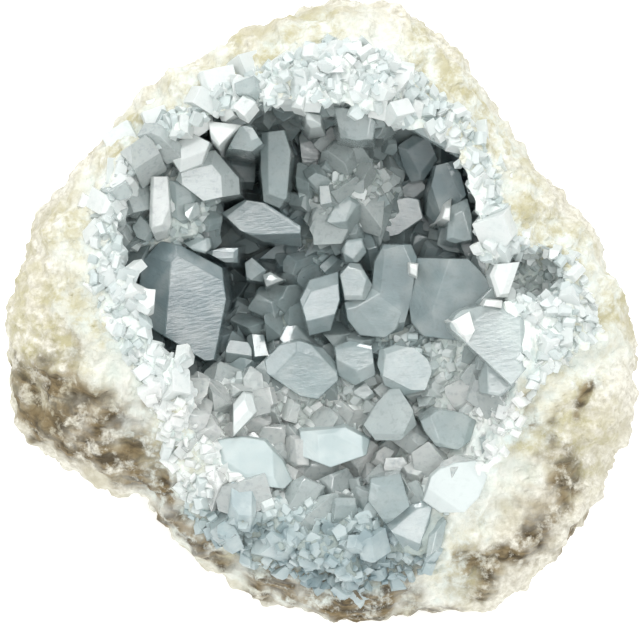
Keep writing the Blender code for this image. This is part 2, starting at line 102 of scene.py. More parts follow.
def join(pieces, name):
    """Make many pieces one."""
    clear_selection()
    for piece in pieces:
        piece.select_set(True)
    bpy.context.view_layer.objects.active = pieces[0]
    bpy.ops.object.join()
    pieces[0].name = name
    return pieces[0]


def discard(items):
    for item in items:
        bpy.data.objects.remove(item, do_unlink=True)


def triangles(piece):
    piece.data.calc_loop_triangles()
    return len(piece.data.loop_triangles)


def merged_copy(node, name):
    """A copy of a solid to model on, its loose triangles merged."""
    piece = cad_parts[node].copy()
    piece.data = piece.data.copy()
    piece.name = name
    bpy.context.scene.collection.objects.link(piece)
    piece.data.materials.clear()
    make_active(piece)
    bpy.ops.object.mode_set(mode="EDIT")
    bpy.ops.mesh.select_all(action="SELECT")
    bpy.ops.mesh.remove_doubles(threshold=0.00001)
    bpy.ops.object.mode_set(mode="OBJECT")
    return piece


def face_tree(piece):
    """A search tree of the surface, square to the broken face and in millimetres."""
    places = [TO_FACE @ vertex.co for vertex in piece.data.vertices]
    return BVHTree.FromPolygons(places, [polygon.vertices[:] for polygon in piece.data.polygons])


# %% [markdown]
# ## The nodule
# Rock and massive celestite are one continuous body: the crystals grew from the rock, and no gap parts them. The
# solids keep them apart, because a material can only be given to a whole solid. So the look is modelled on one
# skin over both. First the crust's free crystals are cut away with stretched spheres, the shape of the hollow,
# which leaves the bed that new crystals will stand on.

# %% Cut the bed out of the crust
HOLLOWS = [
    ((-5, 18, 5), (45.5, 34.5, 36.5)),
    ((23, 28, 0), (16.5, 20.5, 25.5)),
    ((-30, 4, 2), (17.5, 22.5, 24.5)),
    ((7, -17, 25), (39, 32, 28)),
    ((48, 9.5, 16), (10, 6, 14)),
    ((33, 5, 17), (10, 10, 13)),
    ((-22, -45, 17), (4, 6, 7)),
]
MOUNDS = [
    ((4, 20, -27), (15, 24, 14)),
    ((7, 30, -17), (12, 11, 12)),
    ((20, -8, -14), (14, 12, 12)),
    ((-4, -3, -24), (16, 12, 12)),
    ((-38, 27, -6), (12, 13, 12)),
]


def stretched_ball(middle, half_sizes, detail):
    clear_selection()
    bpy.ops.mesh.primitive_ico_sphere_add(subdivisions=detail, radius=1.0, location=(0, 0, 0))
    ball = bpy.context.object
    ball.data.transform(FACE @ Matrix.Translation(middle) @ Matrix.Diagonal((*half_sizes, 1)))
    return ball


bed = merged_copy("crystal_crust", "bed")
for middle, half_sizes in HOLLOWS:
    cutter = stretched_ball(middle, half_sizes, 4)
    apply_new(bed, "BOOLEAN", operation="DIFFERENCE", object=cutter, solver="EXACT")
    discard([cutter])
print("bed faces:", len(bed.data.polygons))

# %% [markdown]
# The bed is then swollen where it faces the rock, so that the two overlap, and rounded mounds raise the back of
# the hollow where its crystals stand higher. A voxel remesh turns all that overlaps into one even skin, which is
# also what layers of noise need: points at the same spacing everywhere.

# %% One skin over rock and bed
OVERLAP = 1.2 * MM
VOXEL = 0.9 * MM
CLEARANCE = 3.0 * MM
CUTTER_VOXEL = 2.0 * MM


def swell_points(piece, amount, chosen):
    """Push the chosen points of a mesh out along their normals."""
    make_active(piece)
    bpy.ops.object.mode_set(mode="EDIT")
    bpy.ops.mesh.select_all(action="DESELECT")
    bpy.ops.object.mode_set(mode="OBJECT")
    for vertex in piece.data.vertices:
        vertex.select = chosen(TO_FACE @ vertex.co)
    bpy.ops.object.mode_set(mode="EDIT")
    bpy.ops.transform.shrink_fatten(value=amount)
    bpy.ops.object.mode_set(mode="OBJECT")


def meets_rock(place):
    return rock_surface.find_nearest(place)[3] * MM < OVERLAP * 0.8


def keep_largest(piece, name):
    """Remove the loose specks that a remesh or a Boolean leaves beside the main body."""
    make_active(piece)
    bpy.ops.mesh.separate(type="LOOSE")
    bodies = sorted(bpy.context.selected_objects, key=lambda body: len(body.data.vertices))
    discard(bodies[:-1])
    bodies[-1].name = name
    print(name, "specks removed:", len(bodies) - 1)
    return bodies[-1]


rind = merged_copy("rind", "nodule")
rock_surface = face_tree(rind)
bed_surface = face_tree(bed)
band_room = merged_copy("crystal_crust", "band room")
band_room.data = bed.data.copy()
swell_points(bed, OVERLAP, meets_rock)
mounds = [stretched_ball(middle, half_sizes, 4) for middle, half_sizes in MOUNDS]
nodule = join([rind, bed, *mounds], "nodule")
apply_new(nodule, "REMESH", mode="VOXEL", voxel_size=VOXEL)
apply_new(nodule, "SMOOTH", factor=0.5, iterations=8)
nodule = keep_largest(nodule, "nodule")
print("nodule triangles:", triangles(nodule))

# %% [markdown]
# Rock and band break differently, so each point is given a share of each, as vertex groups for the modifiers to
# read. The band begins where the crust's solid began, and a little noise frays its edge.

# %% Share out rock and band


def ramp(value, low, high):
    """0 below low, 1 above high, and a smooth rise between."""
    share = min(1.0, max(0.0, (value - low) / (high - low)))
    return share * share * (3 - 2 * share)


def keep_attribute(piece, name, values):
    attribute = piece.data.attributes.new(name, "FLOAT", "POINT")
    attribute.data.foreach_set("value", values)


def vertex_group(piece, name, values):
    group = piece.vertex_groups.new(name=name)
    for index, value in enumerate(values):
        if value > 0.01:
            group.add([index], value, "REPLACE")


def swell(place, spacing, seed):
    """Smooth noise from about -1 to 1, its lumps this far apart in mm."""
    return noise.fractal(place / spacing + Vector((seed, 0, 0)), 1.0, 2.1, 3)


def band_shares(piece):
    """How far each point belongs to the massive band, and how pale it is: the rock pales before it."""
    shares, pales = [], []
    for vertex in piece.data.vertices:
        place = TO_FACE @ vertex.co
        nearer_bed = rock_surface.find_nearest(place)[3] - bed_surface.find_nearest(place)[3]
        fray = 2.6 * swell(place, 7.0, 3) + 1.4 * swell(place, 2.4, 8)
        shares.append(ramp(nearer_bed + fray, -1.6, 1.6))
        pales.append(max(shares[-1], PALE_ROCK * ramp(nearer_bed + 2 * fray, -PALE_REACH, 0.0)))
    return shares, pales


PALE_ROCK, PALE_REACH = 0.65, 13.0
shares, _ = band_shares(nodule)
vertex_group(nodule, "band", shares)
vertex_group(nodule, "rock", [1 - share for share in shares])

# %% [markdown]
# The rock is granular and pitted, the band blocky and dense. Layers of noise push the skin in and out, each layer
# with the size of one real feature: rock lumps of about 15 mm, knobs of 5 mm and grains of 2 mm, and broken
# faces of 6 and 3 mm on the band.

# %% Displace the skin
SKIN_LAYERS = [
    ("rock lumps", "rock", "CLOUDS", 13.0, 5.4, 0.55, {"noise_depth": 3}),
    ("rock knobs", "rock", "VORONOI", 6.0, -2.6, 0.42, {}),
    ("rock grains", "rock", "VORONOI", 2.3, -0.9, 0.4, {}),
    ("rock pits", "rock", "CLOUDS", 1.7, 1.1, 0.55, {"noise_depth": 2}),
    ("broken faces", "band", "VORONOI", 6.5, -1.8, 0.45, {"distance_metric": "MANHATTAN"}),
    ("small faces", "band", "VORONOI", 2.8, -0.9, 0.45, {"distance_metric": "CHEBYCHEV"}),
]
for name, group, kind, size, height, middle, settings in SKIN_LAYERS:
    texture = bpy.data.textures.new(name, kind)
    texture.noise_scale = size * MM
    for key, value in settings.items():
        setattr(texture, key, value)
    apply_new(nodule, "DISPLACE", texture=texture, strength=height * MM, mid_level=middle,
              texture_coords="GLOBAL", vertex_group=group)
nodule.vertex_groups.clear()
nodule_surface = face_tree(nodule)

# %% [markdown]
# ## Rock and band as two pieces
# The one skin is now parted where the two minerals meet, so that each can be handled by itself. The cutter is the
# bed again, swollen on its free side to clear the noise. Taking it away leaves the rock, and keeping only what lies
# inside it leaves the band. Both get the same cut, so they meet without a gap.

# %% Part the band from the rock
swell_points(band_room, CLEARANCE, lambda place: not meets_rock(place))
mounds = []
for middle, half_sizes in MOUNDS:
    mounds.append(stretched_ball(middle, [half + CLEARANCE / MM for half in half_sizes], 3))
band_room = join([band_room, *mounds], "band room")
apply_new(band_room, "REMESH", mode="VOXEL", voxel_size=CUTTER_VOXEL)
massive_band = merged_copy("crystal_crust", "massive_band")
massive_band.data = nodule.data.copy()
apply_new(nodule, "BOOLEAN", operation="DIFFERENCE", object=band_room, solver="MANIFOLD")
apply_new(massive_band, "BOOLEAN", operation="INTERSECT", object=band_room, solver="MANIFOLD")
discard([band_room])
rough_rind = keep_largest(nodule, "rough_rind")
massive_band = keep_largest(massive_band, "massive_band")
print("rock triangles:", triangles(rough_rind), "band triangles:", triangles(massive_band))

# %% [markdown]
# ## Stains
# Iron and clay have stained the rock in places: olive patches on the upper rock, and dark brown dirt held in the
# hollows of the lower left and lower right. Each spot is given where the photograph shows it, and its strength
# fades with distance over the real surface, so that it also wraps round the edge. The strengths are kept as
# attributes for the material to read, with how far each point is band, and with painted shade that greys
# the band at the back of the hollow and a little on the lower lip.

# %% Mark the stains and the band
OLIVE_SPOTS = [
    (-13, 62, 9), (-29, 53, 8), (-47, 42, 8), (-72, 10, 10), (-66, -2, 12), (28, 60, 9), (36, 48, 10), (44, 40, 8),
    (52, 24, 9), (58, 16, 8), (70, 2, 8), (-54, -3, 6), (-62, 22, 8), (53, -27, 7), (62, -20, 8), (-33, -28, 6),
    (35, -58, 8), (-22, -52, 6), (60, -34, 8), (-2, 70, 7), (-70, -14, 9), (-40, -34, 6),
]
BROWN_SPOTS = [
    (-67, -24, 6), (-57, -19, 5), (-50, -27, 6), (-44, -32, 6), (-60, -30, 7), (-48, -36, 6), (-70, -18, 6),
    (-40, -41, 5), (-22, -59, 4), (0, -66, 5), (-8, -64, 4), (55, -38, 5), (53, -50, 5), (57, -43, 3), (39, -61, 6),
    (36, -57, 4), (52, -25, 3), (64, -17, 3), (9, -69, 5), (46, -56, 4), (-36, -45, 4), (59, -52, 5), (-30, -52, 4),
    (-14, -64, 5), (5, -72, 7), (14, -71, 6), (-34, -50, 4), (-54, -32, 6), (-62, -26, 6), (-26, -57, 3),
    (-4, -68, 6), (24, -70, 5), (-62, -15, 6), (-50, -31, 7), (16, -66, 5),
]


STAIN_WANDER = 7.0


def stain_strength(place, spots):
    """The strongest spot at a place: 1 at a spot's middle, fading to 0 at twice its radius, its edge frayed."""
    astray = place + Vector([swell(place, 8.0, seed) for seed in (21, 22, 23)]) * STAIN_WANDER
    return max(ramp((astray - middle).length, 2.0 * radius, 0.3 * radius) for middle, radius in spots)


def on_surface(spots):
    """Spots given across and up the face, laid on the nodule as the photograph sees it."""
    laid = []
    for across, up, radius in spots:
        hit = nodule_surface.ray_cast(Vector((across, up, 90)), Vector((0, 0, -1)))[0]
        laid.append((hit or Vector((across, up, 0)), radius))
    return laid


def shade_share(place):
    """Painted shade on the bed: grey towards the back of the hollow, and a little on the lower lip."""
    return max(ramp(place.z, 8.0, -16.0), ramp(place.y, -38.0, -52.0))


def weathering(place, seed):
    """Dirt in patches on the back and the underside, as the photograph shows it where they begin."""
    return 0.6 * ramp(-place.z, 4.0, 26.0) * ramp(swell(place, 17.0, seed), -0.1, 0.5)


olive, brown = on_surface(OLIVE_SPOTS), on_surface(BROWN_SPOTS)
for piece in (rough_rind, massive_band):
    places = [TO_FACE @ vertex.co for vertex in piece.data.vertices]
    shares, pales = band_shares(piece)
    keep_attribute(piece, "band", shares)
    keep_attribute(piece, "pale", pales)
    keep_attribute(piece, "painted_hollow_shade", [shade_share(place) * share for place, share in zip(places, shares)])
    keep_attribute(piece, "olive", [max(stain_strength(place, olive), weathering(place, 14)) for place in places])
    keep_attribute(piece, "brown", [max(stain_strength(place, brown), weathering(place, 31)) for place in places])
print("stained spots:", len(olive) + len(brown))

# %% [markdown]
# ## The large crystals
# These make this geode this geode, so each is drawn as the photograph shows it: the outline of its front
# face, how far in front that face lies, and how it slopes. Each is sawn from a block: one bisect cut for the
# front, one for the back and one for each edge of the outline, every cut filled. A few corners are then sawn off
# and all edges get a very narrow bevel, because a real edge always catches a thread of light.
# A crystal is rooted where a line straight back from it meets the bed, so it always stands on something.

# %% Large crystals
# The tones follow how bright each large crystal looks, so they are partly the crystal's own colour and partly
# painted shade and light.
CLEAR_SLABS = [  # tone from dark 0 to white 1, middle height, slope across and up, outline
    (0.1, 3, (-0.2, 0.1), [(-43.8, -0.8), (-27.3, -10.8), (-25.4, -10.6), (-22.5, 3.8), (-23.5, 11.4),
                           (-33, 16.7), (-38.1, 17.9), (-42.6, 12.9)]),  # the great left blade
    (0.25, 8, (0.2, 0.06), [(20.9, 7.8), (22.1, -1.5), (24.7, -4.8), (34.5, -6.2), (39.5, -3.4), (42.8, 4.2),
                            (38.3, 10.4), (35.2, 13.5), (22.8, 13.5)]),  # the great right block
    (0.6, 22, (-0.05, -0.12), [(30.3, -2.2), (30.5, -3.1), (44.6, -16.3), (49.3, -10.9), (49.3, -2.9), (44.2, 2.8),
                             (41.6, 3.2), (33.3, 1.3), (31.7, 0.2)]),  # the pale one before it
    (0.55, 19, (-0.05, -0.12), [(37.5, -14.7), (37.7, -18), (42.4, -18.9), (47.2, -15.1), (46, -10.9), (39.1, -10)]),
    (0.35, 3, (-0.05, -0.15), [(-13.9, -11.5), (-13.6, -13.2), (-4.8, -19.2), (-0.5, -19.9), (4.3, -15.4),
                               (3.8, -11.5), (0.5, -7.9), (-4.8, -6), (-9.6, -7)]),
    (0.6, 9, (0.05, -0.3), [(10.4, -25.9), (13.1, -29.5), (19, -29.5), (22.8, -25.9), (21.8, -21.9), (18.8, -17.4),
                            (16.6, -17.6), (13.8, -20.5)]),
    (0.5, 10, (0.05, -0.25), [(23.2, -23), (24.7, -27.1), (27.5, -30.9), (32.7, -31.8), (35.6, -29.7), (37, -24.9),
                              (33.7, -23), (26.6, -21.9)]),
    (0.45, 19.5, (0.1, -0.1), [(11.3, -43.3), (15.5, -49), (21, -44.5), (18.8, -37.2), (12, -38.3)]),
    (0.3, 18, (-0.1, -0.1), [(15.5, -49), (19.7, -54.8), (22.5, -56), (25.5, -51), (26.5, -43),
                             (21, -44.5)]),  # the three blue prisms low on the lip
    (0.5, 19, (0.2, -0.1), [(22.5, -56), (23.7, -57.6), (28.4, -54.1), (29.6, -48.4), (26.5, -43),
                            (25.5, -51)]),
    (0.45, 4, (0.1, 0.12), [(-14.1, 34.9), (-13.4, 27.7), (-9.8, 26.2), (-7.9, 28.2), (-6.9, 39.2), (-8.6, 44.4),
                           (-13.9, 43.7)]),  # the ones that hang from the rim
    (0.5, 13, (0.1, 0.1), [(-21.7, 39.6), (-16.1, 38.9), (-13.7, 40.8), (-16.3, 45), (-18.9, 44.8)]),
    (0.65, 8, (-0.1, 0.1), [(-34.2, 32.3), (-27.6, 27.3), (-19.3, 29.2), (-19.5, 32.8), (-25, 39.4), (-32.1, 37.8)]),
    (0.5, 5, (-0.2, 0.2), [(-36.3, 32.4), (-35.8, 24.1), (-32.2, 21.7), (-28.6, 26.9), (-29.1, 29.3),
                            (-32.9, 31.9)]),
    (0.7, 9, (-0.09, -0.53), [(-32.3, 26.5), (-32.1, 23.9), (-30.9, 22.5), (-28.7, 24.2), (-29.2, 27)]),
    (0.85, 10, (-0.25, 0.05), [(-40.5, 21.3), (-38.9, 18), (-36.5, 18.9), (-35.3, 21.8), (-36, 33.1),
                              (-40.1, 33.1)]),
    (0.4, 4, (-0.1, -0.1), [(-32.5, 17.4), (-30.4, 15.7), (-27.5, 15), (-26.1, 16.4), (-26.5, 18.6),
                            (-29.6, 18.6)]),
    (0.2, 0, (-0.1, 0.1), [(-27.4, 15.3), (-22.8, 12.9), (-19.9, 12.9), (-19.7, 16.3), (-23.5, 16.3)]),
    (0.25, -3, (-0.1, 0.15), [(-23.6, 24.8), (-19.1, 20.5), (-13.8, 18.3), (-4.8, 17.3), (-4.6, 21.7), (-13, 27.2),
                              (-18.1, 28)]),
    (0.3, -6, (0.1, 0.05), [(-18.2, 12.8), (-17.7, 8.7), (-14, 8.4), (-13.1, 11.1), (-16.5, 14)]),
    (0.7, -3, (-0.09, -0.53), [(-13.8, 9.9), (-13, 7), (-8.9, 8.7), (-12.1, 10.6)]),
    (0.55, 14, (0.05, 0.1), [(3.3, 49.5), (5, 42.2), (8.7, 41.4), (12.5, 41.7), (13.2, 45.9), (10.6, 48)]),
    (0.15, -8, (0.1, 0.2), [(18.9, 41.3), (20.4, 36.4), (22.3, 32.8), (25.3, 33.2), (28.7, 37.9), (26.7, 42.7),
                            (22.6, 43.9)]),
    (0.5, 16, (0.2, 0.3), [(21.4, 44.2), (32.7, 37.6), (33.4, 41.1), (32.7, 44.6), (29.6, 46.7), (24.7, 46.5)]),
    (0.4, 10, (0.2, 0.0), [(30.1, 18), (32, 17.3), (36, 18), (36, 23.7), (34.9, 27.7), (30.8, 25.8)]),
    (0.15, 2, (0.2, 0.2), [(26.4, 29.2), (26.6, 24.9), (28.3, 22.5), (35, 28.7), (33.8, 33.5), (32.1, 37.1),
                           (27.8, 35.9)]),
    (0.25, 2, (0.1, 0.12), [(12.5, 6.2), (14.6, -5.1), (19.9, -3.4), (21.8, 3.3), (23.2, 13.9), (21.8, 17),
                            (15.3, 17), (13.2, 12.9)]),
    (0.4, 0, (0.0, 0.0), [(5.3, 15.8), (6.2, 12.9), (9.1, 12.9), (11.1, 15.3), (10.1, 18.7), (6.5, 18.2)]),
    (0.4, 2, (0.0, 0.0), [(4.8, 9.8), (6, 3.8), (10.8, 3.8), (12.5, 7.4), (9.6, 12.4), (7.2, 12.7)]),
    (0.3, 0, (-0.1, 0.05), [(-4.8, 3.8), (-2.4, -4.6), (2.4, -3.4), (4.8, 3.8), (4.3, 10.5), (-2.4, 8.6)]),
    (0.35, 1, (0.05, 0.05), [(6, 3.1), (6.7, -1), (9.6, -4.6), (15.6, -5.3), (19.7, -2.2), (19.2, 6.2),
                             (12.5, 6.9)]),
    (0.4, 3, (0.0, -0.1), [(3.6, -7.5), (4.3, -14.2), (8.4, -16.6), (13.2, -14.2), (12.4, -7.2), (7.2, -6)]),
    (0.45, 5, (0.0, -0.05), [(13.8, -11.7), (15.5, -16.5), (20.3, -18.9), (25.1, -17.7), (26.7, -13.4),
                             (25.8, -10.5), (22.7, -7.7), (17.9, -7), (14.3, -8.2)]),
    (0.6, 13, (0.1, -0.1), [(37.8, -28.9), (38.3, -33.1), (40.6, -33.6), (41.8, -30.3), (40.1, -27.9)]),
]
MILKY_SLABS = [
    (0.5, 15, (0.0, -0.3), [(-28.5, -32.1), (-27.1, -36.3), (-22.4, -39.2), (-8.5, -40.6), (-6.8, -38.9),
                            (-9.2, -34), (-13.2, -29.5), (-18.4, -28.6), (-24.5, -29.3)]),  # the slabs on the slope
    (0.8, 13, (-0.09, -0.53), [(-20.5, -28.4), (-15.1, -22.5), (-16.3, -18.7), (-18.2, -18.2), (-20.5, -20.8)]),
    (0.45, 12, (0.0, -0.28), [(-4.7, -27.5), (-4.3, -33.2), (2.4, -35.8), (10.9, -32.9), (11.6, -29.4),
                              (5.9, -26.5)]),
    (0.7, 19.5, (0.0, -0.2), [(24.2, -43.3), (28.2, -46.1), (33.8, -45.9), (37.3, -42.3), (39.2, -37.6),
                            (36.6, -34.1), (29.6, -34.6), (26.1, -37.6)]),
    (0.9, 16, (0.1, -0.2), [(-26.3, 45.8), (-25.6, 41.8), (-23.8, 39.9), (-18.8, 44.9)]),
    (0.75, 15, (0.0, 0.0), [(-3.5, 48), (-3.1, 45.6), (-2.1, 44.5), (0.2, 44.7), (0, 47.3)]),
    (0.85, 19, (-0.1, 0.0), [(39.8, 9.5), (41.5, 4.4), (44, 4.4), (46.8, 12.6), (41, 12.1)]),
    (0.8, 13, (-0.1, 0.1), [(-35, 37), (-33, 34), (-28, 36), (-26, 41), (-30, 43), (-34, 41)]),
    # The last four are small facets where glints fall. Three are tilted to mirror the key from above, and the white
    # tone of all four is a painted highlight.
    (1.0, 23.2, (0.3, -0.2), [(30.6, -1.5), (32.4, -4.6), (34.4, -6.3), (36, -3.4), (34.8, 0.9)]),
    (1.0, 9.6, (-0.09, -0.53), [(21.2, 13.4), (21.4, 10.2), (22.9, 9.4), (23.2, 12.6), (22.4, 13.6)]),
    (1.0, 23.6, (-0.09, -0.53), [(38, 2.4), (42.3, 1.9), (42.5, 3.4), (38.6, 3.7)]),
    (1.0, 11, (-0.09, -0.53), [(28.8, 23), (30.6, 22.6), (31, 27.4), (30, 26.6)]),
]
ROOT = 3.0
LONGEST = 34.0
FLARE = 0.05
FACETS = 3
FACET_INSET, FACET_FALL = (0.15, 0.7), (0.15, 0.75)
CORNER_CUT = 1.6
EDGE_BEVEL = 0.18


def saw(point, normal):
    """One bisect cut through all that is being edited, in mm square to the broken face."""
    bpy.ops.mesh.select_all(action="SELECT")
    bpy.ops.mesh.bisect(plane_co=point, plane_no=normal, use_fill=True, clear_outer=True)


def sawn_slab(height, slope, outline, draw):
    """A crystal whose front face has this outline as the camera sees it."""
    centre = sum((Vector((x, y)) for x, y in outline), Vector((0, 0))) / len(outline)
    front = Vector((-slope[0], -slope[1], 1)).normalized()

    def on_front(x, y):
        return Vector((x, y, height + slope[0] * (x - centre.x) + slope[1] * (y - centre.y)))

    hit = nodule_surface.ray_cast(on_front(*centre) + Vector((0, 0, 1)), Vector((0, 0, -1)))[0]
    depth = min(LONGEST, height - hit.z + ROOT) if hit else LONGEST
    clear_selection()
    bpy.ops.mesh.primitive_cube_add(size=100.0, location=(centre.x, centre.y, height))
    crystal = bpy.context.object
    bpy.ops.object.mode_set(mode="EDIT")
    saw(on_front(*centre), front)
    saw((centre.x, centre.y, height - max(depth, ROOT * 2)), (0, 0, -1))
    for (x, y), (next_x, next_y) in zip(outline, outline[1:] + outline[:1]):
        outward = Vector((next_y - y, x - next_x, 0)).normalized()
        saw(on_front(x, y), outward + Vector((0, 0, FLARE)))
    corners = list(zip(outline, outline[1:] + outline[:1]))
    for (x, y), (next_x, next_y) in draw.sample(corners, FACETS):
        middle = on_front((x + next_x) / 2, (y + next_y) / 2)
        inward = on_front(*centre) - middle
        outward = Vector((next_y - y, x - next_x, 0)).normalized()
        saw(middle + inward * draw.uniform(*FACET_INSET), front + outward * draw.uniform(*FACET_FALL))
    for x, y in draw.sample(outline, 2):
        corner = on_front(x, y)
        away = (corner - on_front(*centre)).normalized()
        tilt = (away + front * draw.uniform(0.5, 1.1)).normalized()
        saw(corner - tilt * draw.uniform(0.3, 1.0) * CORNER_CUT, tilt)
    bpy.ops.mesh.select_all(action="SELECT")
    bpy.ops.mesh.bevel(offset=EDGE_BEVEL, segments=1, affect="EDGES", clamp_overlap=True)
    bpy.ops.object.mode_set(mode="OBJECT")
    crystal.data.transform(FACE @ crystal.matrix_world)
    crystal.matrix_world = Matrix.Identity(4)
    return crystal


def give_tone(crystal, tone):
    keep_attribute(crystal, "tone", [tone] * len(crystal.data.vertices))


def sawn_slabs(slabs, name, draw):
    made = []
    for tone, height, slope, outline in slabs:
        made.append(sawn_slab(height, slope, outline, draw))
        give_tone(made[-1], tone)
    return join(made, name)


draw = random.Random(11)
large_clear = sawn_slabs(CLEAR_SLABS, "large_clear_crystals", draw)
large_milky = sawn_slabs(MILKY_SLABS, "large_milky_crystals", draw)
print("large crystals:", len(CLEAR_SLABS) + len(MILKY_SLABS), "triangles:", triangles(large_clear))

# %% [markdown]
# ## Forms of small crystal
# Celestite grows as blocks and blades with slanting end faces. A small crystal is a cube with its corners sawn
# off in the same way. The cuts are given on a block one unit high that stands on its root, so that one form
# serves every size, and a few copies of each form with shifted cuts are enough for hundreds of crystals.

# %% Small crystal forms
FORMS = {
    "block": [
        ((0, 0.5, 0.82), (0, 0.7, 0.7)), ((0, -0.5, 0.7), (0, -0.7, 0.7)),
        ((0.5, 0, 0.86), (0.7, 0, 0.7)), ((-0.5, 0.34, 0), (-0.75, 0.66, 0)),
    ],
    "chisel": [
        ((0, 0, 1), (0, 0.62, 0.78)), ((0, 0, 1), (0, -0.5, 0.87)),
        ((0.5, 0, 0.74), (0.75, 0, 0.66)), ((-0.5, 0, 0.84), (-0.7, 0, 0.71)),
    ],
    "point": [
        ((0, 0, 1), (0, 0.75, 0.66)), ((0, 0, 1), (0, -0.75, 0.66)),
        ((0.12, 0, 1), (0.78, 0, 0.62)), ((-0.12, 0, 1), (-0.7, 0, 0.71)),
    ],
    "plate": [
        ((0.5, 0, 0.62), (0.8, 0, 0.6)), ((-0.5, 0, 0.8), (-0.72, 0, 0.69)),
        ((0.5, 0.1, 0), (0.5, 0.87, 0)), ((-0.5, 0.1, 0), (-0.5, 0.87, 0)), ((0, 0.5, 0.88), (0, 0.8, 0.6)),
    ],
    "wedge": [
        ((0, -0.5, 1), (0, 0.5, 0.87)), ((0.5, 0, 0.7), (0.7, 0, 0.71)), ((-0.5, 0.3, 0), (-0.8, 0.6, 0)),
    ],
}


def sawn_form(form, draw, wobble, bevel):
    """Saw one crystal out of a cube: its cuts tilt and shift a little, as no two real ones are alike."""
    clear_selection()
    bpy.ops.mesh.primitive_cube_add(size=1.0, location=(0, 0, 0.5))
    crystal = bpy.context.object
    bpy.ops.object.mode_set(mode="EDIT")
    for point, normal in FORMS[form]:
        shifted = Vector(point) + Vector([draw.uniform(-wobble, wobble) for _ in range(3)]) * 0.5
        tilted = (Vector(normal) + Vector([draw.uniform(-wobble, wobble) for _ in range(3)])).normalized()
        saw(shifted, tilted)
    if bevel:
        bpy.ops.mesh.select_all(action="SELECT")
        bpy.ops.mesh.bevel(offset=bevel, segments=1, affect="EDGES", clamp_overlap=True)
    bpy.ops.object.mode_set(mode="OBJECT")
    crystal.data.transform(crystal.matrix_world)
    crystal.matrix_world = Matrix.Identity(4)
    return crystal


def standing(tip, aim, face, size):
    """The matrix that stands a one-unit crystal with its free end at tip and its length along aim."""
    width, thickness, length = size
    side = face.cross(aim).normalized()
    front = aim.cross(side)
    axes = Matrix((side, front, aim)).transposed().to_4x4()
    return FACE @ Matrix.Translation(tip - aim * length) @ axes @ Matrix.Diagonal((width, thickness, length, 1))


def plant(source, matrix, tone):
    """A copy of a crystal in its place, with its own tone."""
    copy = source.copy()
    copy.data = source.data.copy()
    bpy.context.scene.collection.objects.link(copy)
    copy.data.transform(matrix)
    give_tone(copy, tone)
    return copy


SAME_PLACE = 0.01


def surface_points(tries, spacing, draw, wanted):
    """Points on the band's free side, a spacing apart in mm, as (place, normal) square to the broken face."""
    massive_band.data.calc_loop_triangles()
    corners = massive_band.data.loop_triangles
    found, cells = [], {}
    for corner in draw.choices(corners, [corner.area for corner in corners], k=tries):
        place = TO_FACE @ massive_band.data.vertices[corner.vertices[0]].co
        if nodule_surface.find_nearest(place)[3] > SAME_PLACE:
            continue
        if not wanted(place):
            continue
        cell = tuple(int(value // spacing) for value in place)
        near = [(cell[0] + x, cell[1] + y, cell[2] + z) for x in (-1, 0, 1) for y in (-1, 0, 1) for z in (-1, 0, 1)]
        if any((place - other).length < spacing for key in near for other in cells.get(key, [])):
            continue
        cells.setdefault(cell, []).append(place)
        ring = [nodule_surface.find_nearest(place + Vector(step))[1] for step in ((2, 0, 0), (-2, 0, 0), (0, 2, 0))]
        found.append((place, sum(ring, Vector()).normalized()))
    return found


# %% [markdown]
# ## The lining
# Everywhere between the large ones, smaller crystals crowd the wall. They are planted on points of the bed, drawn
# at random but never too near each other, and lean out from the wall and a little towards the open face, where
# there was room to grow. One that would stand before a large crystal's front is left out.

# %% Plant the lining
SLABS = CLEAR_SLABS + MILKY_SLABS


def inside_hollow(place, grow):
    """True within any of the spheres that make the hollow, each grown by a share."""
    return any(sum(((place[i] - middle[i]) / (half[i] * grow)) ** 2 for i in range(3)) < 1
               for middle, half in HOLLOWS)


def in_alcove(place):
    return place.x > 44 and inside_hollow(place, 1.1)


def in_hollow(place):
    return inside_hollow(place, 1.04) and place.z < 14 and not in_alcove(place)


def within(outline, point, margin):
    """True if a point is within an outline, as the camera sees it, or this near its edge."""
    for (x, y), (next_x, next_y) in zip(outline, outline[1:] + outline[:1]):
        inward = (next_x - x) * (point.y - y) - (next_y - y) * (point.x - x)
        if inward < -margin * math.hypot(next_x - x, next_y - y):
            return False
    return True


def hides_a_slab(place, tip, margin):
    """True if a crystal would stand before the front face of a large one. Where that face is buried, it may."""
    for _, height, _, outline in SLABS:
        buried = place.z > height and within(outline, place, 0)
        if tip.z > height - 1.5 and within(outline, tip, margin) and not buried:
            return True
    return False


ROSETTE = Vector((8, 33, -6))


def lining_tone_with_painted_shade(place, draw):
    """Painted shade and light: dark and clear at the back of the hollow, paler towards the slope and the rim,
    and dark again on the lower lip; one pale rosette is the crystals' own tone.
    """
    tone = 0.32 + 0.3 * ramp(place.z, -20, 14) + 0.4 * ramp(place.y, -8, -26) - 0.7 * ramp(place.y, -36, -52)
    return tone + 0.25 * ramp((place - ROSETTE).length, 20, 12) + draw.uniform(-0.14, 0.14)


def plant_over(points, forms, widths, stretch, rise, lean, draw, tone):
    """Plant crystals on points: how far each rises is a share of its length."""
    planted = []
    for place, normal in points:
        tilt = Vector([draw.uniform(-lean, lean) for _ in range(3)])
        aim = (normal + tilt + Vector((0, 0, 0.25))).normalized()
        face = Vector([draw.uniform(-1, 1) for _ in range(3)])
        width = draw.uniform(*widths)
        length = width * draw.uniform(*stretch)
        tip = place + aim * length * draw.uniform(*rise)
        if hides_a_slab(place, tip, width * 0.55):
            continue
        size = (width, width * draw.uniform(0.6, 1.0), length)
        planted.append(plant(draw.choice(forms), standing(tip, aim, face, size), tone(place, draw)))
    return planted


